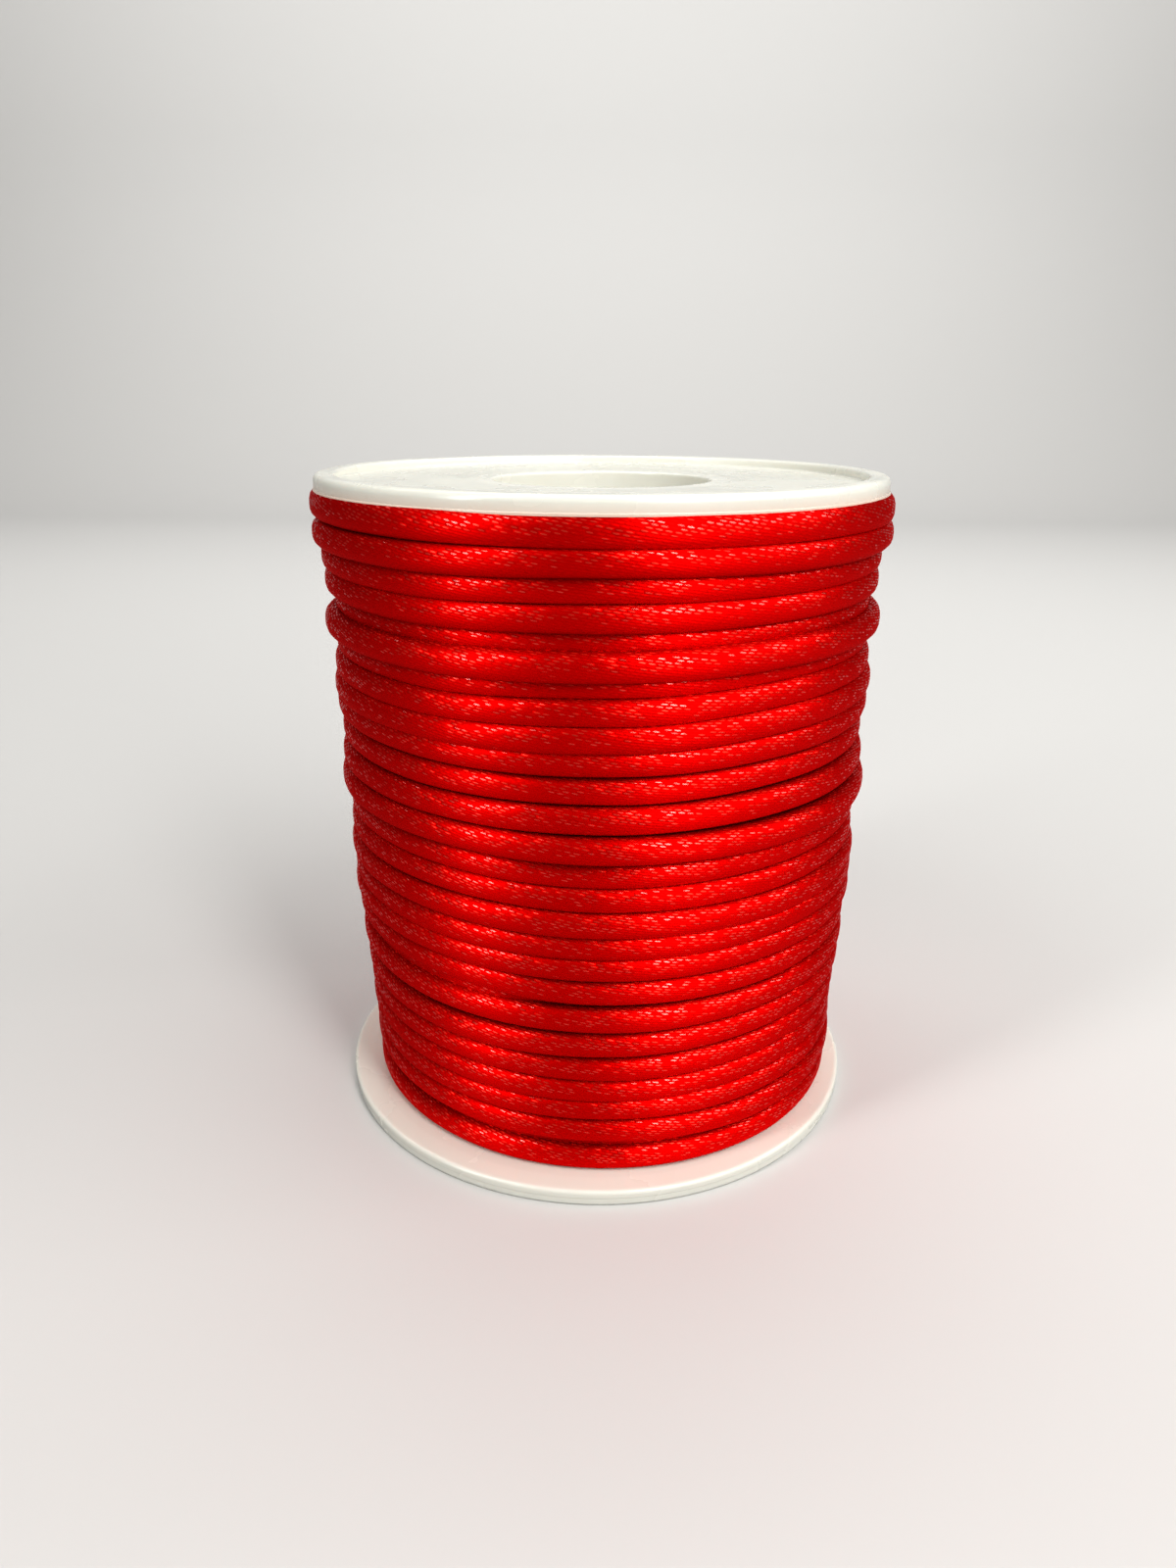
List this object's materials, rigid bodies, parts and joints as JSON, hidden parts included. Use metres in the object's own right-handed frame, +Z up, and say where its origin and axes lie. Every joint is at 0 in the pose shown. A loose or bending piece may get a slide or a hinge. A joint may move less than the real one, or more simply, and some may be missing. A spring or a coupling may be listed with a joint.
{
  "type": "spool of rattail cord",
  "caption": "Small moulded spool with recessed flanges and a spindle hole, wound full of thin satin cord in side-by-side turns.",
  "frame": {"origin": "middle of the plane that the lower rim stands on, under the spool's axis", "axes": "+Z up along the spool's axis, -Y towards the side seen in the picture, +X to the right of it"},
  "size_m": [0.0457, 0.0458, 0.053],
  "materials": {
    "spool_plastic": "glossy moulded white plastic",
    "satin_cord": "shiny red satin weave with fine glints"
  },
  "bodies": {
    "root": {"flange_top": "spool_plastic", "flange_bottom": "spool_plastic", "barrel": "spool_plastic", "cord_winding": "satin_cord"}
  },
  "joints": []
}
